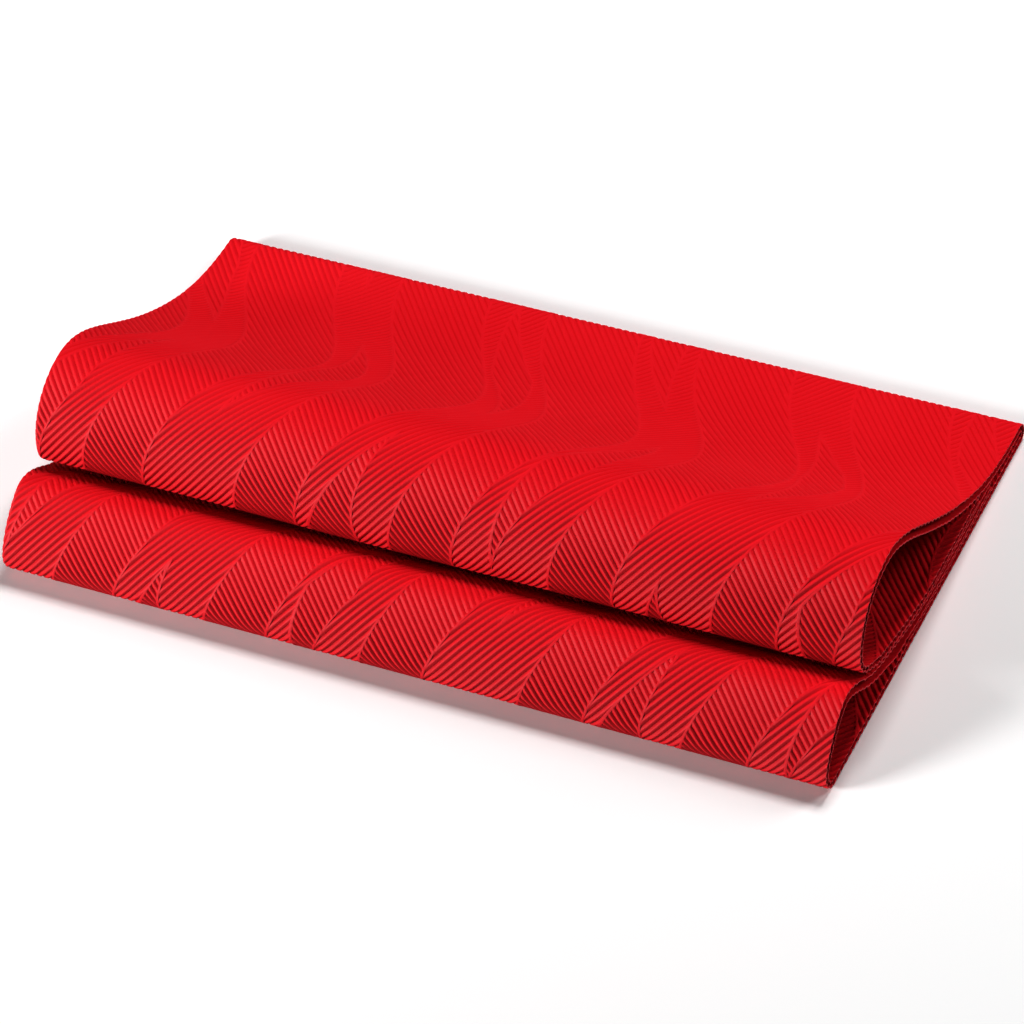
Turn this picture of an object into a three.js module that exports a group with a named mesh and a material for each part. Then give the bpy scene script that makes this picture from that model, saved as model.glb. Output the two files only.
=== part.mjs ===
// A paper napkin in its book fold, eight layers deep, lying with two open rolls at the front.
//
// One square sheet is doubled crosswise, so its fold is the left end and its cut edges are at the right
// end. The doubled sheet is then folded over its depth: an upper roll at the front, a spine at the back and
// a lower roll at the front.
//
// Units are millimetres, +Z is up, and +X runs along the napkin from the folded end to the cut end. The
// front, with both rolls, faces -Y. The origin is under the middle of the napkin, on the surface that it
// lies on.

import * as THREE from 'three';

// Driving dimensions
const LENGTH = 240; // along X, half of the square sheet
const DEPTH = 135.6; // along Y, from the front of the lower roll to the spine
const PLY = 1.0; // thickness of the sheet, with its embossing
const GAP = 0.3; // clearance between layers that lie on each other
const CREST = 41.3; // height of the upper roll
const LOWER_CREST = 20.9; // height of the lower roll
const SPINE_HEIGHT = 5.8; // height of the rounded spine at the back

// Levels where the layers lie flat on each other
const PAIR = 2 * PLY + GAP; // thickness of the doubled sheet
const BED = 2 * PAIR + GAP; // top of the lower roll's tail
const LIFT = 1.1 * GAP; // how far the upper roll's tail lies over it, measured straight up
const SPINE_RADIUS = SPINE_HEIGHT / 2;
const ARC = 0.5523 * SPINE_RADIUS; // handle length of a quarter circle

// Rows of the tables below are points that the outer face of the doubled sheet passes.
//   depth    distance from the front of the lower roll
//   height   level above the surface that the napkin lies on
//   heading  the way that the sheet runs there, in degrees: 0 is towards the back, 90 is up
//   before   length of the curve's handle behind the point
//   after    length of the curve's handle ahead of it
//   gape     space between the two layers at the cut end
//   steps    number of faces from this row to the next

// The lower roll's tail, from the roll to its cut edge
const TAIL = [
  { at: 'fall foot', depth: 40, height: 10.45, heading: -15, before: 4, after: 2.5, gape: 1.8, steps: 3 },
  { at: 'landing', depth: 47.5, height: 8.6, heading: -13.5, before: 2.5, after: 3, gape: 2.7, steps: 3 },
  { at: 'crease', depth: 57, height: 6.4, heading: -12, before: 3, after: 4, gape: 1.2, steps: 4 },
  { at: 'bed', depth: 70, height: BED, heading: 0, before: 4.5, after: 5, gape: GAP, steps: 2 },
  { at: 'cut edge', depth: 112, height: BED, heading: 0, before: 5, after: 5, gape: GAP, steps: 0 },
];

// The upper roll's tail lies on the lower one, runs the other way and ends sooner
const UPPER_TAIL_END = 104;
const UPPER_TAIL_GAPE = 0.7;
const HEEL_STEPS = 5;

function upperTail() {
  const rows = TAIL.map((row, i) => ({
    ...row,
    height: row.height + LIFT,
    heading: 180 + row.heading,
    before: row.after,
    after: row.before,
    gape: Math.min(row.gape, UPPER_TAIL_GAPE),
    steps: i === 0 ? HEEL_STEPS : TAIL[i - 1].steps,
  })).reverse();
  rows[0].depth = UPPER_TAIL_END;
  return rows;
}

const UPPER_ROLL = [
  { at: 'heel', depth: 29.6, height: 15.3, heading: 148, before: 4, after: 2.4, gape: 0.5, steps: 4 },
  { at: 'front', depth: 25.8, height: 21.8, heading: 90, before: 3, after: 9.6, gape: 0.5, steps: 9 },
  { at: 'crest', depth: 47.8, height: CREST, heading: 0, before: 12.5, after: 11.2, gape: 0.6, steps: 10 },
  { at: 'slope', depth: 87.2, height: 18.9, heading: -30.2, before: 20, after: 20, gape: 0.6, steps: 8 },
  { at: 'foot', depth: 119.3, height: 6.6, heading: -8, before: 6, after: 6, gape: GAP, steps: 3 },
];

const SPINE_FOOT = DEPTH - SPINE_RADIUS;
const SPINE = [
  { at: 'top', depth: SPINE_FOOT, height: SPINE_HEIGHT, heading: 0, before: 3, after: ARC, gape: GAP, steps: 4 },
  { at: 'back', depth: DEPTH, height: SPINE_RADIUS, heading: -90, before: ARC, after: ARC, gape: GAP, steps: 4 },
  { at: 'base', depth: SPINE_FOOT, height: 0, heading: 180, before: ARC, after: 10, gape: GAP, steps: 3 },
];

const LOWER_ROLL = [
  { at: 'base', depth: 4.6, height: 0, heading: 180, before: 10, after: 2.6, gape: GAP, steps: 5 },
  { at: 'front', depth: 0, height: 5.4, heading: 90, before: 2.8, after: 4.8, gape: 0.5, steps: 8 },
  { at: 'crest', depth: 16.9, height: LOWER_CREST, heading: 0, before: 5.6, after: 4.4, gape: 1.5, steps: 6 },
  { at: 'fall', depth: 29, height: 14.7, heading: -34, before: 3.5, after: 3.5, gape: 1.2, steps: 4 },
];

// The outer face from one cut edge of the folded strip to the other
const FOLDS = [...upperTail(), ...UPPER_ROLL, ...SPINE, ...LOWER_ROLL, ...TAIL];

// Columns of the inner layer, which gapes from the outer one more and more towards the cut end
const COLUMNS = [
  { x: PAIR / 2, open: 0 },
  { x: 25, open: 0.35 },
  { x: 90, open: 0.9 },
  { x: LENGTH, open: 1 },
];
const FOLD_FACES = 6; // faces round the outside of the folded end
const CREASE_FACES = 2; // faces round its inside

// The end of a row's handle, ahead of its point for a positive reach and behind it for a negative one
function handle(row, reach) {
  const turn = THREE.MathUtils.degToRad(row.heading);
  return new THREE.Vector2(row.depth + reach * Math.cos(turn), row.height + reach * Math.sin(turn));
}

// Points along the folds, each with the direction into the doubled sheet and its gape
function foldStations() {
  const stations = [];
  for (let i = 0; i + 1 < FOLDS.length; i += 1) {
    const from = FOLDS[i];
    const to = FOLDS[i + 1];
    const curve = new THREE.CubicBezierCurve(
      new THREE.Vector2(from.depth, from.height),
      handle(from, from.after),
      handle(to, -to.before),
      new THREE.Vector2(to.depth, to.height),
    );
    const first = i === 0 ? 0 : 1;
    for (let step = first; step <= from.steps; step += 1) {
      const share = step / from.steps;
      const tangent = curve.getTangent(share);
      stations.push({
        point: curve.getPoint(share),
        inward: new THREE.Vector2(tangent.y, -tangent.x),
        gape: THREE.MathUtils.lerp(from.gape, to.gape, THREE.MathUtils.smoothstep(share, 0, 1)),
      });
    }
  }
  return stations;
}

// Points round half a circle at the folded end, from the outer layer to the inner one for a turn of 1 and
// back for a turn of -1
function halfRound(radius, faces, turn) {
  const points = [];
  for (let i = 1; i < faces; i += 1) {
    const angle = (Math.PI * i) / faces;
    const out = radius * Math.sin(angle);
    const across = turn * radius * Math.cos(angle);
    points.push(new THREE.Vector2(PAIR / 2 - out, PAIR / 2 - across));
  }
  return points;
}

// The doubled sheet cut across its folds is a hairpin, with x along the napkin and y the depth under its
// outer face
function hairpin(gape) {
  const under = (column, layers) => layers * PLY + GAP + (gape - GAP) * column.open;
  const outside = COLUMNS.map((column) => new THREE.Vector2(column.x, under(column, 2)));
  const inside = COLUMNS.map((column) => new THREE.Vector2(column.x, under(column, 1)));
  return [
    new THREE.Vector2(LENGTH, 0),
    new THREE.Vector2(PAIR / 2, 0),
    ...halfRound(PAIR / 2, FOLD_FACES, 1),
    ...outside,
    ...inside.reverse(),
    ...halfRound(GAP / 2, CREASE_FACES, -1),
    new THREE.Vector2(PAIR / 2, PLY),
    new THREE.Vector2(LENGTH, PLY),
  ];
}

// The closed body that the hairpin sweeps along the folds
function foldedSheet() {
  const stations = foldStations();
  const rings = stations.map((station) => hairpin(station.gape));
  const size = rings[0].length;
  const position = [];
  rings.forEach((ring, i) => {
    const { point, inward } = stations[i];
    for (const corner of ring) {
      position.push(
        corner.x - LENGTH / 2,
        point.x + inward.x * corner.y - DEPTH / 2,
        point.y + inward.y * corner.y,
      );
    }
  });
  const index = [];
  for (let i = 0; i + 1 < rings.length; i += 1) {
    for (let j = 0; j < size; j += 1) {
      const a = i * size + j;
      const b = i * size + ((j + 1) % size);
      index.push(a, a + size, b);
      index.push(b, a + size, b + size);
    }
  }
  const last = rings.length - 1;
  for (const [a, b, c] of THREE.ShapeUtils.triangulateShape(rings[0], [])) {
    index.push(a, c, b);
  }
  for (const [a, b, c] of THREE.ShapeUtils.triangulateShape(rings[last], [])) {
    index.push(last * size + a, last * size + b, last * size + c);
  }
  const geometry = new THREE.BufferGeometry();
  geometry.setAttribute('position', new THREE.Float32BufferAttribute(position, 3));
  geometry.setIndex(index);
  geometry.computeVertexNormals();
  return geometry;
}

const paper = new THREE.MeshStandardMaterial({ color: 0xdc141e, roughness: 0.9, metalness: 0 });
const napkin = new THREE.Mesh(foldedSheet(), paper);
napkin.name = 'napkin';

const group = new THREE.Group();
group.add(napkin);

export default group;
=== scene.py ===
"""A large red paper napkin in its book fold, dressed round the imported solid.

One square sheet is doubled crosswise, so its fold is the left end and its cut edges are at the right
end. The doubled sheet is folded over its depth into an upper roll, a spine at the back and a lower roll.
The sheet is one mesh on the solid's own folds: two thin layers whose ribs are raised in the mesh wherever
they show.

Fold tables and the embossing are in millimetres and the meshes in metres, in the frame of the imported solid.
"""

from __future__ import annotations

import logging
import math
from dataclasses import dataclass, replace
from enum import Enum
from typing import Union

import bpy
import numpy as np
from mathutils import Matrix, Vector

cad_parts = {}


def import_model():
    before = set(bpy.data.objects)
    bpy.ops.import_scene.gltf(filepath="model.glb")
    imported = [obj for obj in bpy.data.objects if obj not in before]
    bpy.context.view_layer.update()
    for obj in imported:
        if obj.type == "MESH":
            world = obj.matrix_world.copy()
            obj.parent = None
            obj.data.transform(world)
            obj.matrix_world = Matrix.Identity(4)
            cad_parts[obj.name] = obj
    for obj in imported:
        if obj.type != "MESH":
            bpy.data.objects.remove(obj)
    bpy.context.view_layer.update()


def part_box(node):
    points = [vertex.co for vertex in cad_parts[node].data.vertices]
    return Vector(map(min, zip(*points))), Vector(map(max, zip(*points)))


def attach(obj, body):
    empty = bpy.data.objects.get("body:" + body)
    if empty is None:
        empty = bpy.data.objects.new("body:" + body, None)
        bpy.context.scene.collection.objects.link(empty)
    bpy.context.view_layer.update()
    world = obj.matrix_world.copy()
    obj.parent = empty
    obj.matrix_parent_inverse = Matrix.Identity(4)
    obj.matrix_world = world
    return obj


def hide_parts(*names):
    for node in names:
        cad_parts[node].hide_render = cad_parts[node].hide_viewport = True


MM = 0.001
log = logging.getLogger("napkin")


class Maths(Enum):
    """The operations that a number over a surface can go through."""

    ADD = "ADD"
    SUBTRACT = "SUBTRACT"
    MULTIPLY = "MULTIPLY"
    DIVIDE = "DIVIDE"
    SINE = "SINE"
    ABSOLUTE = "ABSOLUTE"
    FLOOR = "FLOOR"
    MINIMUM = "MINIMUM"
    MAXIMUM = "MAXIMUM"
    LESS_THAN = "LESS_THAN"


class Value:
    """A number that changes over a surface: one node socket, with Python's operators on it."""

    def __init__(self, board: Board, socket: bpy.types.NodeSocket) -> None:
        """Keeps the board and the socket."""
        self.board = board
        self.socket = socket

    def __add__(self, other: Number) -> Value:
        """self + other."""
        return self.board.maths(Maths.ADD, self, other)

    def __radd__(self, other: Number) -> Value:
        """other + self."""
        return self.board.maths(Maths.ADD, other, self)

    def __sub__(self, other: Number) -> Value:
        """self - other."""
        return self.board.maths(Maths.SUBTRACT, self, other)

    def __rsub__(self, other: Number) -> Value:
        """other - self."""
        return self.board.maths(Maths.SUBTRACT, other, self)

    def __mul__(self, other: Number) -> Value:
        """self * other."""
        return self.board.maths(Maths.MULTIPLY, self, other)

    def __rmul__(self, other: Number) -> Value:
        """other * self."""
        return self.board.maths(Maths.MULTIPLY, other, self)

    def __truediv__(self, other: Number) -> Value:
        """self / other."""
        return self.board.maths(Maths.DIVIDE, self, other)

    def __rtruediv__(self, other: Number) -> Value:
        """other / self."""
        return self.board.maths(Maths.DIVIDE, other, self)


Number = Union[Value, float]
Field = Union[Value, np.ndarray, float]


def sine(turns: Field) -> Field:
    """The sine of an angle in turns, on a surface or in an array."""
    angle = turns * math.tau
    return angle.board.maths(Maths.SINE, angle) if isinstance(angle, Value) else np.sin(angle)


def cosine(turns: Field) -> Field:
    """The cosine of an angle in turns, on a surface or in an array."""
    return sine(turns + 0.25)


def positive(a: Field) -> Field:
    """The size of a number without its sign."""
    return a.board.maths(Maths.ABSOLUTE, a) if isinstance(a, Value) else np.abs(a)


def whole(a: Field) -> Field:
    """The whole number at or below a."""
    return a.board.maths(Maths.FLOOR, a) if isinstance(a, Value) else np.floor(a)


def least(a: Field, b: Field) -> Field:
    """The smaller of two numbers."""
    return a.board.maths(Maths.MINIMUM, a, b) if isinstance(a, Value) else np.minimum(a, b)


def most(a: Field, b: Field) -> Field:
    """The larger of two numbers."""
    return a.board.maths(Maths.MAXIMUM, a, b) if isinstance(a, Value) else np.maximum(a, b)


def below(a: Field, limit: float) -> Field:
    """1 where a is under the limit, and 0 elsewhere."""
    if isinstance(a, Value):
        return a.board.maths(Maths.LESS_THAN, a, limit)
    return (a < limit).astype(float)


def ramp(a: Field, low: float, high: float) -> Field:
    """Rises softly from 0 at low to 1 at high.

    Args:
        a: the number that is read.
        low: where the rise begins.
        high: where it ends.

    Returns:
        A number from 0 to 1, level at both ends.
    """
    share = least(most((a - low) * (1.0 / (high - low)), 0.0), 1.0)
    return share * share * (3.0 - share * 2.0)


class Board:
    """The node tree of one material."""

    def __init__(self, name: str) -> None:
        """Starts a material with an empty tree.

        Args:
            name: the material's name.
        """
        self.material = bpy.data.materials.new(name)
        self.material.use_nodes = True
        self.tree = self.material.node_tree
        self.tree.nodes.clear()

    def node(
        self,
        kind: str,
        settings: dict | None = None,
        sockets: dict | None = None,
    ) -> bpy.types.Node:
        """Adds one node.

        Args:
            kind: the node's type.
            settings: its properties, which are set first.
            sockets: a value or a link for each input, by its name or number.

        Returns:
            The new node.
        """
        made = self.tree.nodes.new(kind)
        for name, setting in (settings or {}).items():
            setattr(made, name, setting)
        for name, given in (sockets or {}).items():
            entry = made.inputs[name]
            if isinstance(given, Value):
                given = given.socket
            if isinstance(given, bpy.types.NodeSocket):
                self.tree.links.new(given, entry)
            else:
                entry.default_value = given
        return made

    def maths(self, operation: Maths, *terms: Number) -> Value:
        """Adds one Math node.

        Args:
            operation: what it does.
            terms: the one or two numbers that it reads.

        Returns:
            Its result.
        """
        made = self.node("ShaderNodeMath", {"operation": operation.value}, dict(enumerate(terms)))
        return Value(self, made.outputs[0])

    def mix(
        self,
        share: Number,
        first: tuple | bpy.types.NodeSocket,
        second: tuple,
    ) -> bpy.types.NodeSocket:
        """Mixes two colours.

        Args:
            share: how much of the second colour there is.
            first: the first colour.
            second: the second colour.

        Returns:
            The mixed colour.
        """
        made = self.node("ShaderNodeMix", {"data_type": "RGBA"}, {0: share, 6: first, 7: second})
        return made.outputs[2]

    def show(self, surface: bpy.types.NodeSocket) -> bpy.types.Material:
        """Ends the tree with its surface and gives the material."""
        self.node("ShaderNodeOutputMaterial", sockets={"Surface": surface})
        return self.material


@dataclass(frozen=True)
class FoldRow:
    """A point that the outer face passes, in millimetres and degrees.

    depth is measured from the front and height from the surface below. heading is the way that the sheet
    runs, with 0 towards the back and 90 up. before and after are the lengths of the curve's handles behind
    and ahead of the point, and gape is the space that the solid leaves between its layers at the cut end.
    """

    at: str
    depth: float
    height: float
    heading: float
    before: float
    after: float
    gape: float

    def handle(self, reach: float) -> np.ndarray:
        """The end of a handle, ahead of the point for a positive reach and behind it for a negative one."""
        turn = math.radians(self.heading)
        return np.array([self.depth + reach * math.cos(turn), self.height + reach * math.sin(turn)])


@dataclass(frozen=True)
class FoldTrace:
    """The fold path, followed closely.

    along is how far each station lies from the strip's first cut edge, points its depth and height, inward
    the direction into the doubled sheet there, and gapes the space that the solid leaves between its layers.
    marks gives how far along each named row lies.
    """

    along: np.ndarray
    points: np.ndarray
    inward: np.ndarray
    gapes: np.ndarray
    marks: dict[str, float]

    def pairs_at(self, pairs: np.ndarray, v: np.ndarray) -> np.ndarray:
        """Reads points or directions at the distances v along the path."""
        return np.stack([np.interp(v, self.along, pairs[:, i]) for i in (0, 1)], axis=1)


@dataclass
class FoldPath:
    """The way of the doubled sheet's outer face from one cut edge of the folded strip to the other.

    Its tables are those of the solid, apart from the upper roll's heel, which stands a little higher. ply
    and gap are the solid's layers and the space between them where they lie flat. samples is the number of
    stations from one row to the next.
    """

    depth: float
    crest: float
    ply: float = 1.0
    gap: float = 0.3
    upper_tail_end: float = 104.0
    upper_tail_gape: float = 0.7
    spine_radius: float = 2.9
    lower_crest: float = 20.9
    samples: int = 200

    QUARTER = 0.5523  # the handle of a quarter circle, in radii
    TAIL_LIFT = 1.1  # how far the upper tail lies over the lower one, straight up and in gaps

    def lower_tail(self) -> list[FoldRow]:
        """The lower roll's tail.

        Returns:
            Its rows, from the roll to the cut edge.
        """
        bed = 4 * self.ply + 3 * self.gap
        return [
            FoldRow("fall foot", 40, 10.45, -15, 4, 2.5, 1.8),
            FoldRow("landing", 47.5, 8.6, -13.5, 2.5, 3, 2.7),
            FoldRow("crease", 57, 6.4, -12, 3, 4, 1.2),
            FoldRow("bed", 70, bed, 0, 4.5, 5, self.gap),
            FoldRow("tail end", 112, bed, 0, 5, 5, self.gap),
        ]

    def upper_tail(self) -> list[FoldRow]:
        """The upper roll's tail, which lies on the lower one and runs the other way.

        Returns:
            Its rows, from the cut edge to the roll.
        """
        lift = self.TAIL_LIFT * self.gap
        rows = [
            replace(
                row,
                at="upper " + row.at,
                height=row.height + lift,
                heading=180 + row.heading,
                before=row.after,
                after=row.before,
                gape=min(row.gape, self.upper_tail_gape),
            )
            for row in reversed(self.lower_tail())
        ]
        return [replace(rows[0], depth=self.upper_tail_end), *rows[1:]]

    def rows(self) -> list[FoldRow]:
        """The whole path.

        Returns:
            All rows, in the order in which the sheet passes them.
        """
        foot = self.depth - self.spine_radius
        arc = self.QUARTER * self.spine_radius
        return [
            *self.upper_tail(),
            FoldRow("heel", 29.6, 16.1, 148, 4, 2.4, 0.5),
            FoldRow("upper front", 25.8, 22.3, 90, 3, 9.3, 0.5),
            FoldRow("upper crest", 47.8, self.crest, 0, 12.5, 11.2, 0.6),
            FoldRow("slope", 87.2, 18.9, -30.2, 20, 20, 0.6),
            FoldRow("foot", 119.3, 6.6, -8, 6, 6, self.gap),
            FoldRow("spine top", foot, 2 * self.spine_radius, 0, 3, arc, self.gap),
            FoldRow("spine", self.depth, self.spine_radius, -90, arc, arc, self.gap),
            FoldRow("spine base", foot, 0, 180, arc, 10, self.gap),
            FoldRow("front base", 4.6, 0, 180, 10, 2.6, self.gap),
            FoldRow("lower front", 0, 5.4, 90, 2.8, 4.8, 0.5),
            FoldRow("lower crest", 16.9, self.lower_crest, 0, 5.6, 4.4, 1.5),
            FoldRow("fall", 29, 14.7, -34, 3.5, 3.5, 1.2),
            *self.lower_tail(),
        ]

    def trace(self) -> FoldTrace:
        """Follows the curve closely.

        Returns:
            Its stations.
        """
        rows = self.rows()
        share = np.linspace(0, 1, self.samples, endpoint=False)[:, None]
        rest = 1 - share
        points, inward, gapes = [], [], []
        for row, ahead in zip(rows, rows[1:]):
            a, d = row.handle(0), ahead.handle(0)
            b, c = row.handle(row.after), ahead.handle(-ahead.before)
            points.append(a * rest**3 + 3 * b * share * rest**2 + 3 * c * share**2 * rest + d * share**3)
            tangent = (b - a) * rest**2 + 2 * (c - b) * share * rest + (d - c) * share**2
            tangent /= np.linalg.norm(tangent, axis=1, keepdims=True)
            inward.append(np.stack([tangent[:, 1], -tangent[:, 0]], axis=1))
            gapes.append(row.gape + (ahead.gape - row.gape) * ramp(share[:, 0], 0, 1))
        end = rows[-1]
        turn = math.radians(end.heading)
        points.append(end.handle(0)[None])
        inward.append(np.array([[math.sin(turn), -math.cos(turn)]]))
        gapes.append(np.array([end.gape]))
        points = np.concatenate(points)
        steps = np.linalg.norm(np.diff(points, axis=0), axis=1)
        along = np.concatenate([[0], np.cumsum(steps)])
        marks = {row.at: float(along[i * self.samples]) for i, row in enumerate(rows)}
        return FoldTrace(along, points, np.concatenate(inward), np.concatenate(gapes), marks)


@dataclass
class Embossing:
    """Ribs at a slant in waved bands that lean the other way in each second band, with lozenges in some.

    Sizes are in millimetres. x runs along the napkin from its folded end and v along the folded strip. Both
    the mesh and the material read it, so each place has the same ribs in both.

    rib_x and rib_v are the ribs' pitches. The bands are about as wide as band, and uneven is how much they
    differ, which drifts along v over drift by drift_turns. sway and wave are the height and length of their
    waves, which begin at start. Lozenges lie in every other band, one to each lozenge_pitch. lozenge_length
    and lozenge_width reach from their middle to their points and sides, and stagger sets them off from band
    to band. A ridge follows each border: it is whole up to line from it and gone at line_end.
    """

    rib_x: float
    rib_v: float
    band: float = 23.0
    uneven: float = 0.12
    drift: float = 260.0
    drift_turns: float = 0.2
    sway: float = 12.0
    wave: float = 131.0
    lozenge_pitch: float = 96.0
    lozenge_length: float = 33.0
    lozenge_width: float = 6.6
    stagger: float = 0.31
    start: float = 0.62
    line: float = 0.2
    line_end: float = 0.75

    FIRST = 40.0  # added to each band's number, so that none is below 0
    FAR = 100.0  # further from a lozenge than any place is

    def bands(self, x: Field, v: Field) -> tuple[Field, Field, Field]:
        """Where a place lies among the bands.

        Args:
            x: along the napkin.
            v: along the strip.

        Returns:
            The band's number, the distance from its middle line, and the distance from its border.
        """
        shifted = x + sine(v / self.wave + self.start) * self.sway
        turns = shifted / (2 * self.band) + sine(v / self.drift) * self.drift_turns
        place = shifted / self.band + sine(turns) * self.uneven + self.FIRST
        rate = (cosine(turns) * (self.uneven * math.pi) + 1.0) * (1.0 / self.band)
        number = whole(place)
        aside = place - number - 0.5
        return number, aside / rate, (0.5 - positive(aside)) / rate

    def read(self, x: Field, v: Field, spread: float = 0.0) -> tuple[Field, Field]:
        """The relief and the lean of the ribs.

        Args:
            x: along the napkin.
            v: along the strip.
            spread: how much wider the borders are, for a mesh that is too coarse to hold them.

        Returns:
            The height from 0 in a groove to 1 on a ridge, and 1 or -1 for the way that the ribs lean.
        """
        number, across, edge = self.bands(x, v)
        odd = number - whole(number * 0.5) * 2.0
        spot = v / self.lozenge_pitch + number * self.stagger
        spot = (spot - whole(spot) - 0.5) * (self.lozenge_pitch / self.lozenge_length)
        outline = positive(across) - (1.0 - positive(spot)) * self.lozenge_width + odd * self.FAR
        lozenge = below(outline, 0.0)
        lean = (odd - 0.5) * (1.0 - lozenge * 2.0) * 2.0
        ribs = positive(sine((x / self.rib_x + lean * v / self.rib_v) * 0.5))
        line = 1.0 - ramp(least(edge, positive(outline)), self.line, self.line_end + spread)
        return most(ribs, line), lean


@dataclass(frozen=True)
class RedPaper:
    """Soft dyed paper with shade painted down into its grooves, and a fine fibre grain.

    relief and grain are in metres, and fibre_cells and cloud_cells are cells of noise to a metre. The colour
    is groove at the bottom, a painted shade that darkens the grooves, and the ridge's from lit up, and it
    fades by up to fading where the clouds rise through cloudy. cut is the colour of the cut edges.
    """

    ridge: tuple = (0.74, 0.020, 0.037, 1.0)
    # groove is painted shade: darker than the ridge, for the bottom of each groove
    groove: tuple = (0.67, 0.010, 0.019, 1.0)
    faded: tuple = (0.77, 0.024, 0.043, 1.0)
    cut: tuple = (0.82, 0.10, 0.125, 1.0)
    roughness: float = 0.62
    shine: float = 0.6
    relief: float = 0.00045
    grain: float = 0.00002
    fibre_cells: float = 900.0
    cloud_cells: float = 28.0
    lit: float = 0.8
    cloudy: tuple[float, float] = (0.35, 0.75)
    fading: float = 0.35

    def material(self, embossing: Embossing) -> bpy.types.Material:
        """Builds the material.

        Args:
            embossing: the ribs, which are the same as the mesh's.

        Returns:
            The material, which reads the mesh's sheet map and its attributes.
        """
        board = Board("red_paper")
        place = board.node("ShaderNodeUVMap", {"uv_map": NapkinSheet.MAP})
        axes = board.node("ShaderNodeSeparateXYZ", sockets={0: place.outputs["UV"]})
        x = Value(board, axes.outputs["X"]) * (1 / MM)
        v = Value(board, axes.outputs["Y"]) * (1 / MM)
        height, _ = embossing.read(x, v)
        left = board.node("ShaderNodeAttribute", {"attribute_name": NapkinSheet.LEFT_OVER})
        left_over = Value(board, left.outputs["Fac"])
        fibres = self._noise(board, self.fibre_cells)
        clouds = self._noise(board, self.cloud_cells)
        # painted shade: the colour darkens from the ridge's down to groove as the relief falls into the
        # grooves
        colour = board.mix(ramp(height, 0.0, self.lit), self.groove, self.ridge)
        colour = board.mix(ramp(clouds, *self.cloudy) * self.fading, colour, self.faded)
        cut = board.node("ShaderNodeAttribute", {"attribute_name": NapkinSheet.CUT})
        colour = board.mix(Value(board, cut.outputs["Fac"]), colour, self.cut)
        relief = board.node(
            "ShaderNodeBump",
            sockets={"Strength": 1.0, "Distance": self.relief, "Height": height * left_over},
        )
        grain = board.node(
            "ShaderNodeBump",
            sockets={
                "Strength": 1.0,
                "Distance": self.grain,
                "Height": fibres,
                "Normal": relief.outputs[0],
            },
        )
        surface = board.node(
            "ShaderNodeBsdfPrincipled",
            sockets={
                "Base Color": colour,
                "Roughness": self.roughness,
                "Specular IOR Level": self.shine,
                "Normal": grain.outputs[0],
            },
        )
        return board.show(surface.outputs[0])

    @staticmethod
    def _noise(board: Board, scale: float) -> Value:
        """Soft even noise over the piece.

        Args:
            board: the material's tree.
            scale: the noise's cells to a metre.

        Returns:
            The noise, from 0 to 1.
        """
        where = board.node("ShaderNodeTexCoord")
        made = board.node(
            "ShaderNodeTexNoise",
            {"noise_dimensions": "3D"},
            {"Vector": where.outputs["Object"], "Scale": scale, "Detail": 3.0, "Roughness": 0.55},
        )
        return Value(board, made.outputs[0])


@dataclass
class Side:
    """A row of points on one side of the sheet, from the outer layer's cut edge to the inner layer's.

    x runs along the napkin and down is the depth under the doubled sheet's outer face. sheet is the place on
    the flat sheet, left the share of the ribs' relief that is left to the bump, and first the number of the
    row's first point in the mesh.
    """

    x: np.ndarray
    down: np.ndarray
    sheet: np.ndarray
    left: np.ndarray
    first: int = 0

    def columns(self) -> tuple[np.ndarray, ...]:
        """The four values of each point."""
        return self.x, self.down, self.sheet, self.left

    def turned(self) -> Side:
        """The same points from the other end."""
        return Side(*[values[::-1] for values in self.columns()])

    def joined(self, *parts: Side) -> Side:
        """These points, with those of further parts behind them."""
        rows = [part.columns() for part in (self, *parts)]
        return Side(*[np.concatenate(values) for values in zip(*rows)])


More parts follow.
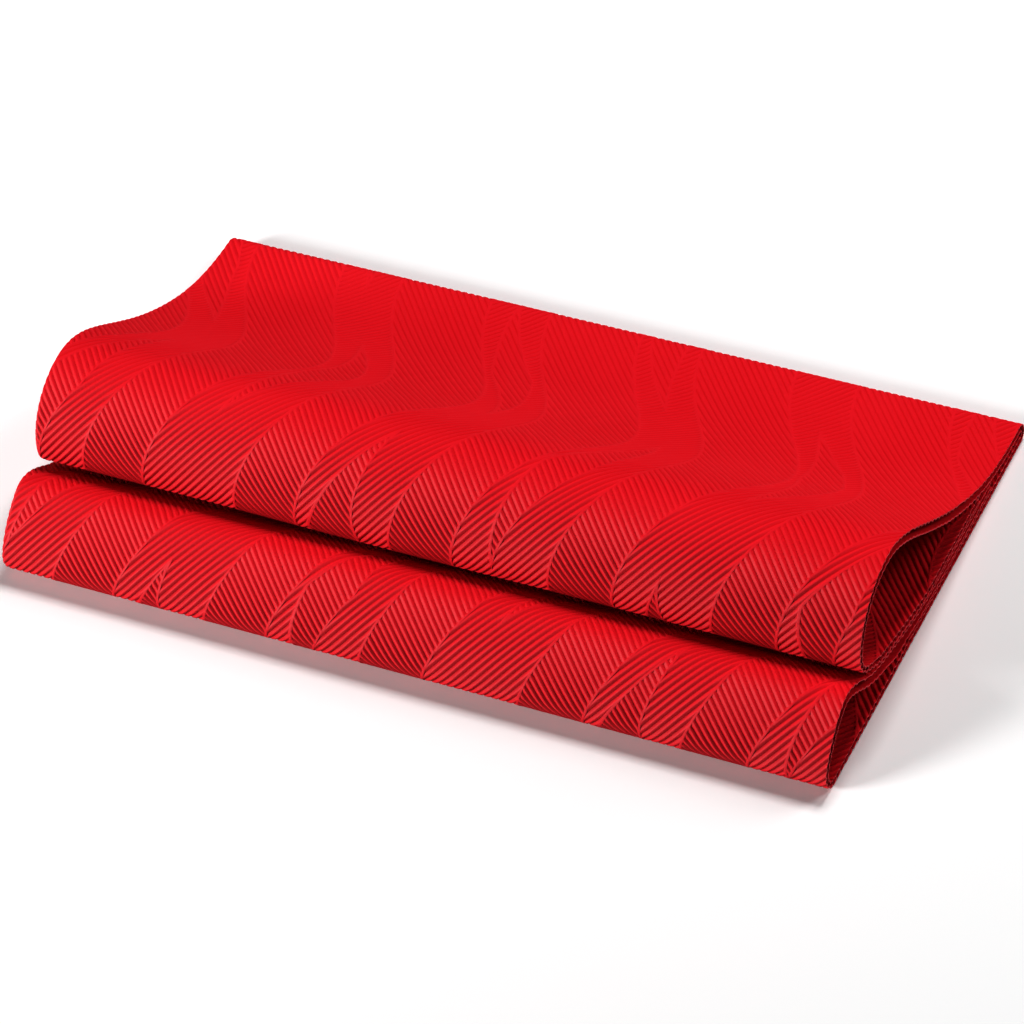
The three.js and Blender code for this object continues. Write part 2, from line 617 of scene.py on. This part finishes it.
@dataclass
class NapkinSheet:
    """The whole napkin: one sheet, doubled at the left end and folded over its depth.

    Sizes are in millimetres. The hairpin of the doubled sheet is swept along the fold path. Its outer face
    carries the ribs in the mesh where it shows, and so does every layer's strip along the cut end.

    paper is the sheet's thickness on a ridge, and swell is how much deeper its other side dips in a groove
    than its embossed side. rib_x and rib_v are the ribs' pitches as measured. The mesh fits them to whole
    pitches, with so many samples to each. fold_faces is the number of faces round the folded end,
    end_columns that of the columns along the cut end, and flat, which is not used, the edge of the square
    before it was folded.
    """

    length: float
    depth: float
    crest: float
    paper: float = 0.28
    swell: float = 1.7
    rib_x: float = 2.158
    rib_v: float = 2.567
    samples: int = 3
    fold_faces: int = 5
    end_columns: int = 4
    flat: float = 480.0
    sway: float = 0.22

    MAP = "sheet"
    LEFT_OVER = "left_over"
    CUT = "cut"
    MEAN_DIP = 0.36  # of the relief, where the mesh is too coarse for the ribs
    FOLD_SHARE = 0.5  # of the relief, which the mesh has round the folded end
    BESIDE = 1.3  # columns from the strip along the cut end to the coarse column beside it
    # Coarse columns along x, and how much of its gape the doubled sheet has there
    SPREADS = ((25.0, 0.35), (90.0, 0.9), (165.0, 0.95))
    # The rows between which the outer face shows, each with how far before it that begins or ends
    SHOWN = ((("heel", 2.0), ("spine base", 1.0)), (("front base", 0.0), ("fall", 0.0)))
    # The heights between which the sheet comes free of the stack and can sway
    FREE = (5.0, 16.0)
    # Two crossed waves: the lengths along x and v over which each turns by a radian, and its start
    HILLS = ((31.0, 23.0, 0.6), (53.0, -41.0, 2.1))
    # The relief in the mesh, and the share of the bump's relief that is added to it, from row to row
    RELIEF = (
        ("heel", 0.44, 1.0),
        ("upper front", 0.44, 1.0),
        ("upper crest", 0.34, 0.25),
        ("foot", 0.28, 0.15),
        ("spine", 0.3, 0.3),
        ("front base", 0.44, 1.0),
        ("lower front", 0.44, 1.0),
        ("lower crest", 0.34, 0.35),
        ("fall", 0.34, 0.35),
    )
    # How much further apart than in the solid the layers lie at the cut end, from row to row
    SPACES = (
        ("upper fall foot", 0.0),
        ("heel", -0.45),
        ("upper front", -0.45),
        ("upper crest", 0.3),
        ("slope", 0.9),
        ("foot", 0.2),
        ("spine top", 0.0),
        ("front base", 0.0),
        ("lower front", -0.45),
        ("lower crest", -0.3),
        ("fall", 0.0),
    )

    def build(self) -> bpy.types.Object:
        """Builds the mesh.

        Returns:
            The napkin's object.
        """
        self.path = FoldPath(self.depth, self.crest)
        self._lay_out()
        rows = range(len(self.v))
        outside = [self._outside(j) for j in rows]
        inside = [self._inside(j) for j in rows]
        self._gather(outside, inside)
        faces = self._faces(outside, inside)
        edges = self._cut_edges(outside, inside)
        return self._object(faces, edges)

    def _lay_out(self) -> None:
        """Works out the columns, the rows and where the ribs are raised in the mesh."""
        trace = self.path.trace()
        total = trace.along[-1]
        count = round(total / (self.rib_v / self.samples))
        self.v = np.linspace(0, total, count + 1)
        self.point = trace.pairs_at(trace.points, self.v)
        self.inward = trace.pairs_at(trace.inward, self.v)
        self.inward /= np.linalg.norm(self.inward, axis=1, keepdims=True)
        spaces = [(trace.marks[at], space) for at, space in self.SPACES]
        self.gape = np.interp(self.v, trace.along, trace.gapes) + np.interp(self.v, *zip(*spaces))
        at = [trace.marks[name] for name, _, _ in self.RELIEF]
        self.relief = np.interp(self.v, at, [relief for _, relief, _ in self.RELIEF])
        self.left = np.interp(self.v, at, [share for _, _, share in self.RELIEF])
        self.bend = self.path.ply + self.path.gap / 2
        self.columns = round((self.length - self.bend) / (self.rib_x / self.samples))
        self.step = (self.length - self.bend) / self.columns
        self.emboss = Embossing(rib_x=self.samples * self.step, rib_v=self.samples * total / count)
        self.shows = np.zeros(len(self.v), bool)
        for shown in self.SHOWN:
            begin, end = (trace.marks[name] - before for name, before in shown)
            self.shows |= (self.v > begin) & (self.v < end)
        beside = self.length - (self.end_columns + self.BESIDE) * self.step
        self.coarse = [self.bend, *[x for x, _ in self.SPREADS], beside]
        self.coarse_open = [0.0, *[share for _, share in self.SPREADS], 1.0]

    def _thickness(self, x: np.ndarray, row: int) -> np.ndarray:
        """How deep the doubled sheet is from face to face.

        Args:
            x: along the napkin.
            row: the row of the path.

        Returns:
            The depths, in millimetres.
        """
        places = [*self.coarse, self.length]
        shares = [*self.coarse_open, 1.0]
        opened = np.interp(x, places, shares)
        return 2 * self.path.ply + self.path.gap + (self.gape[row] - self.path.gap) * opened

    def _dip(self, number: np.ndarray, row: int) -> np.ndarray:
        """How far a place on the fine grid lies under its ridges.

        Args:
            number: the columns' numbers, which go below 0 on the inner layer.
            row: the row of the path.

        Returns:
            The dips, in millimetres.
        """
        x = number * self.step
        height, _ = self.emboss.read(x, np.full(len(x), self.v[row]), self.step / 2)
        return (1 - height) * self.relief[row]

    def _layer(self, fine: np.ndarray, row: int, inner: bool, face: float) -> Side:
        """One face of one layer, from the cut end to the fold.

        Args:
            fine: the numbers of the columns on the rib grid.
            row: the row of the path.
            inner: whether it is the inner layer.
            face: how far the face lies below the layer's embossed side.

        Returns:
            The face's points.
        """
        ends = np.array(self.coarse[::-1]) if len(fine) <= self.end_columns + 1 else np.array([])
        x = np.concatenate([self.bend + fine * self.step, ends])
        number = -fine - self.fold_faces if inner else fine
        level = np.full(len(ends), self.MEAN_DIP * self.relief[row])
        dips = np.concatenate([self._dip(number, row), level])
        sheet = x - self.bend
        if inner:
            sheet = -sheet - self.fold_faces * self.step
        down = dips * (self.swell if face else 1.0) + face
        if inner:
            down = self._thickness(x, row) - down
        left = np.concatenate([np.full(len(fine), self.left[row]), np.ones(len(ends))])
        return Side(x, down, sheet, left)

    def _turn(self, row: int, face: float) -> Side:
        """The folded end, from the outer layer round to the inner one.

        Args:
            row: the row of the path.
            face: how far the face lies below the embossed side.

        Returns:
            The points between the two layers.
        """
        number = -np.arange(1, self.fold_faces)
        angle = math.pi * np.arange(1, self.fold_faces) / self.fold_faces
        radius = self.bend - self._dip(number, row) * self.FOLD_SHARE - face
        return Side(
            x=self.bend - radius * np.sin(angle),
            down=self.bend - radius * np.cos(angle),
            sheet=number * self.step,
            left=np.full(len(number), 1 - self.FOLD_SHARE),
        )

    def _outside(self, row: int) -> Side:
        """The embossed side of the hairpin, on the rib grid wherever it shows.

        Args:
            row: the row of the path.

        Returns:
            The row's points.
        """
        end = np.arange(self.columns, self.columns - self.end_columns - 1, -1)
        fine = np.arange(self.columns, -1, -1) if self.shows[row] else end
        inner = self._layer(end, row, True, 0)
        return self._layer(fine, row, False, 0).joined(self._turn(row, 0), inner.turned())

    def _inside(self, row: int) -> Side:
        """The other side of the hairpin.

        Args:
            row: the row of the path.

        Returns:
            The row's points.
        """
        end = np.arange(self.columns, self.columns - self.end_columns - 1, -1)
        inner = self._layer(end, row, True, self.paper)
        return self._layer(end, row, False, self.paper).joined(self._turn(row, self.paper), inner.turned())

    def _gather(self, outside: list[Side], inside: list[Side]) -> None:
        """Numbers the points of all rows and works out where they lie.

        Args:
            outside: the embossed side of each row.
            inside: the other side of each row.
        """
        points, sheet, left, rim, first = [], [], [], [], 0
        for row, sides in enumerate(zip(outside, inside)):
            for mark, side in enumerate(sides, start=1):
                count = len(side.x)
                side.first = first
                first += count
                place = self.point[row] + side.down[:, None] * self.inward[row]
                place = place - self._sway(side.x, row)[:, None] * self.inward[row]
                x, y = side.x - self.length / 2, place[:, 0] - self.depth / 2
                points.append(np.column_stack([x, y, place[:, 1]]))
                sheet.append(np.column_stack([side.sheet, np.full(count, self.v[row])]))
                left.append(side.left)
                edge = np.zeros(count, int)
                edge[[0, -1]] = mark
                rim.append(edge)
        self.points = np.concatenate(points) * MM
        self.sheet_map = np.concatenate(sheet) * MM
        self.left_over = np.concatenate(left)
        self.rim = np.concatenate(rim)

    def _sway(self, x: np.ndarray, row: int) -> np.ndarray:
        """The soft unevenness of hand-laid paper, which fades where it lies flat.

        Args:
            x: along the napkin.
            row: the row of the path.

        Returns:
            How far the sheet stands out, in millimetres.
        """
        hills = ramp(self.point[row, 1], *self.FREE)
        for across, along, start in self.HILLS:
            hills = hills * np.sin(x / across + self.v[row] / along + start)
        return hills * self.sway

    def _faces(self, outside: list[Side], inside: list[Side]) -> list[tuple[int, ...]]:
        """Joins the rows.

        Args:
            outside: the embossed side of each row.
            inside: the other side of each row.

        Returns:
            The faces, all with the same side out.
        """
        faces = []
        for row in range(len(self.v) - 1):
            a, b = outside[row], outside[row + 1]
            if len(a.x) == len(b.x):
                faces += self._strip(a, b, row)
            else:
                faces += self._fan(a, b)
            c, d = inside[row], inside[row + 1]
            i = np.arange(len(c.x) - 1)
            faces += list(zip(c.first + i, c.first + i + 1, d.first + i + 1, d.first + i))
        return faces

    def _cut_edges(self, outside: list[Side], inside: list[Side]) -> list[tuple[int, ...]]:
        """Closes the sheet along its cut edges.

        Args:
            outside: the embossed side of each row.
            inside: the other side of each row.

        Returns:
            The faces, with the same side out as the others.
        """
        faces = []
        for row in range(len(self.v) - 1):
            sides = (outside[row], outside[row + 1], inside[row + 1], inside[row])
            faces.append(tuple(side.first for side in reversed(sides)))
            faces.append(tuple(side.first + len(side.x) - 1 for side in sides))
        for row, turned in ((0, False), (len(self.v) - 1, True)):
            a, c = outside[row].first, inside[row].first
            for i in range(len(outside[row].x) - 1):
                quad = (a + i, a + i + 1, c + i + 1, c + i)
                faces.append(tuple(reversed(quad)) if turned else quad)
        return faces

    def _strip(self, a: Side, b: Side, row: int) -> list[tuple[int, ...]]:
        """Joins two rows with the same columns, with each face split along the ribs.

        Args:
            a: one row.
            b: the next row.
            row: the first row's number.

        Returns:
            The triangles.
        """
        i = np.arange(len(a.x) - 1)
        x = (a.sheet[:-1] + a.sheet[1:]) / 2
        _, lean = self.emboss.read(x, np.full(len(x), (self.v[row] + self.v[row + 1]) / 2))
        p, q = a.first + i, a.first + i + 1
        r, s = b.first + i + 1, b.first + i
        rising = lean < 0
        one = np.where(rising[:, None], np.stack([q, p, s], 1), np.stack([q, p, r], 1))
        two = np.where(rising[:, None], np.stack([q, s, r], 1), np.stack([p, s, r], 1))
        return [tuple(face) for face in np.concatenate([one, two]).tolist()]

    @staticmethod
    def _fan(a: Side, b: Side) -> list[tuple[int, ...]]:
        """Joins two rows with different columns.

        Args:
            a: one row.
            b: the next row.

        Returns:
            The triangles.
        """
        i, j, faces = 0, 0, []
        last_a, last_b = len(a.x) - 1, len(b.x) - 1
        while i < last_a or j < last_b:
            ahead_a = a.sheet[i + 1] if i < last_a else -math.inf
            ahead_b = b.sheet[j + 1] if j < last_b else -math.inf
            if ahead_a >= ahead_b:
                faces.append((a.first + i + 1, a.first + i, b.first + j))
                i += 1
            else:
                faces.append((a.first + i, b.first + j, b.first + j + 1))
                j += 1
        return faces

    def _object(self, faces: list[tuple[int, ...]], edges: list[tuple[int, ...]]) -> bpy.types.Object:
        """Makes the object.

        Args:
            faces: the faces of the sheet's two sides.
            edges: the faces along its cut edges.

        Returns:
            The object, with its sheet map, its two attributes and its cut edges sharp.
        """
        mesh = bpy.data.meshes.new("napkin_sheet")
        mesh.from_pydata(self.points.tolist(), [], faces + edges)
        cut = mesh.attributes.new(self.CUT, "FLOAT", "FACE")
        cut.data.foreach_set("value", np.repeat([0.0, 1.0], [len(faces), len(edges)]))
        corners = np.zeros(len(mesh.loops), np.int32)
        mesh.loops.foreach_get("vertex_index", corners)
        sheet = mesh.uv_layers.new(name=self.MAP)
        sheet.data.foreach_set("uv", self.sheet_map[corners].astype(np.float32).ravel())
        left_over = mesh.attributes.new(self.LEFT_OVER, "FLOAT", "POINT")
        left_over.data.foreach_set("value", self.left_over.astype(np.float32))
        pairs = np.zeros(len(mesh.edges) * 2, np.int32)
        mesh.edges.foreach_get("vertices", pairs)
        ends = self.rim[pairs].reshape(-1, 2)
        sharp = mesh.attributes.new("sharp_edge", "BOOLEAN", "EDGE")
        sharp.data.foreach_set("value", (ends[:, 0] == ends[:, 1]) & (ends[:, 0] > 0))
        mesh.shade_smooth()
        napkin = bpy.data.objects.new("napkin_sheet", mesh)
        bpy.context.scene.collection.objects.link(napkin)
        return napkin

    def dress(self, napkin: bpy.types.Object, paper: RedPaper) -> None:
        """Gives the napkin its finish and its place in the frame.

        Args:
            napkin: the object.
            paper: its finish.
        """
        napkin.data.materials.append(paper.material(self.emboss))
        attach(napkin, "root")
        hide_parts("napkin")


@dataclass(frozen=True)
class StudioFloor:
    """A plain white floor, wide enough to fill the view, which the napkin doesn't mirror.

    half is half its edge and drop how far it lies under the napkin, in metres.
    """

    half: float = 4.0
    colour: tuple = (0.86, 0.86, 0.86, 1.0)
    roughness: float = 0.9
    shine: float = 0.1
    drop: float = 0.0002

    def build(self) -> bpy.types.Object:
        """Builds the floor and dresses it.

        Returns:
            The floor's object.
        """
        mesh = bpy.data.meshes.new("studio_floor")
        corners = [(-1, -1), (1, -1), (1, 1), (-1, 1)]
        points = [(x * self.half, y * self.half, -self.drop) for x, y in corners]
        mesh.from_pydata(points, [], [(0, 1, 2, 3)])
        floor = bpy.data.objects.new("studio_floor", mesh)
        floor.visible_glossy = False
        bpy.context.scene.collection.objects.link(floor)
        board = Board("studio_white")
        surface = board.node(
            "ShaderNodeBsdfPrincipled",
            sockets={
                "Base Color": self.colour,
                "Roughness": self.roughness,
                "Specular IOR Level": self.shine,
            },
        )
        mesh.materials.append(board.show(surface.outputs[0]))
        return floor


@dataclass(frozen=True)
class Softbox:
    """One square light that looks at the napkin.

    toward is the direction from the napkin to the light, away its distance and side its edge, in metres,
    and power is in watts. A light that isn't mirrored leaves no gloss, as behind a polarising screen.
    """

    name: str
    toward: tuple[float, float, float]
    away: float
    side: float
    power: float
    mirrored: bool = False

    def build(self) -> None:
        """Places the light."""
        lamp = bpy.data.lights.new(self.name, "AREA")
        lamp.shape = "SQUARE"
        lamp.size = self.side
        lamp.energy = self.power
        light = bpy.data.objects.new(self.name, lamp)
        direction = Vector(self.toward).normalized()
        light.location = direction * self.away
        light.rotation_euler = direction.to_track_quat("Z", "Y").to_euler()
        light.visible_glossy = self.mirrored
        bpy.context.scene.collection.objects.link(light)


@dataclass(frozen=True)
class Studio:
    """The lights round the napkin, and the contrast that the picture is shown with.

    Two lights behind it keep its top even, and a low one in front on the left grazes the ribs on its rolls.
    gamma is under 1, so that the picture has the photograph's stronger contrast.
    """

    sky: float = 0.02
    gamma: float = 0.667

    def build(self) -> None:
        """Places the lights and makes the sky an even white."""
        Softbox("back_light", (0.08, 0.48, 0.874), 1.4, 0.38, 15.5).build()
        Softbox("right_light", (0.62, 0.58, 0.53), 1.4, 0.5, 7.0).build()
        Softbox("front_light", (-0.66, -0.68, 0.37), 1.4, 0.4, 19.6, mirrored=True).build()
        world = bpy.data.worlds.new("studio_sky")
        world.use_nodes = True
        background = world.node_tree.nodes["Background"]
        background.inputs["Color"].default_value = (1.0, 1.0, 1.0, 1.0)
        background.inputs["Strength"].default_value = self.sky
        scene = bpy.context.scene
        scene.world = world
        scene.view_settings.view_transform = "Standard"
        scene.view_settings.gamma = self.gamma


@dataclass(frozen=True)
class PhotoCamera:
    """The camera at the photograph's angle, worked out from the napkin's two ends.

    aim is the point on the floor in the middle of the picture, from the napkin's front left corner, and
    distance is how far the camera is from it, both in metres. focal and sensor are in millimetres.
    """

    azimuth: float = 32.409
    elevation: float = 44.884
    roll: float = -9.885
    distance: float = 1.3571
    aim: tuple[float, float] = (0.12085, 0.06538)
    focal: float = 178.56
    sensor: float = 36.0

    def build(self, corner: Vector) -> None:
        """Places the camera.

        Args:
            corner: the napkin's front left corner.
        """
        turn, rise, roll = (math.radians(a) for a in (self.azimuth, self.elevation, self.roll))
        back = Vector((math.sin(turn) * math.cos(rise), -math.cos(turn) * math.cos(rise), math.sin(rise)))
        right = (-back).cross(Vector((0, 0, 1))).normalized()
        up = back.cross(right)
        across = right * math.cos(roll) + up * math.sin(roll)
        above = up * math.cos(roll) - right * math.sin(roll)
        lens = bpy.data.cameras.new("photo_camera")
        lens.lens = self.focal
        lens.sensor_width = self.sensor
        camera = bpy.data.objects.new("photo_camera", lens)
        place = Vector((corner.x + self.aim[0], corner.y + self.aim[1], 0)) + back * self.distance
        turned = Matrix((across, above, back)).transposed().to_4x4()
        camera.matrix_world = Matrix.Translation(place) @ turned
        bpy.context.scene.collection.objects.link(camera)
        bpy.context.scene.camera = camera


def main() -> None:
    """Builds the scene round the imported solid."""
    logging.basicConfig(level=logging.INFO, format="%(message)s")
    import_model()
    low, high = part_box("napkin")
    size = (high - low) / MM
    log.info("solid: %.1f x %.1f x %.1f mm", *size)

    PhotoCamera().build(low)
    floor = StudioFloor().build()
    log.info("%s: stands for the table", floor.name)
    Studio().build()
    log.info("studio: lights and sky")

    sheet = NapkinSheet(length=size.x, depth=size.y, crest=size.z)
    napkin = sheet.build()
    sheet.dress(napkin, RedPaper())
    triangles = sum(len(face.vertices) - 2 for face in napkin.data.polygons)
    log.info("%s: %d triangles, strip %.0f mm long", napkin.name, triangles, sheet.v[-1])


if __name__ == "__main__":
    main()
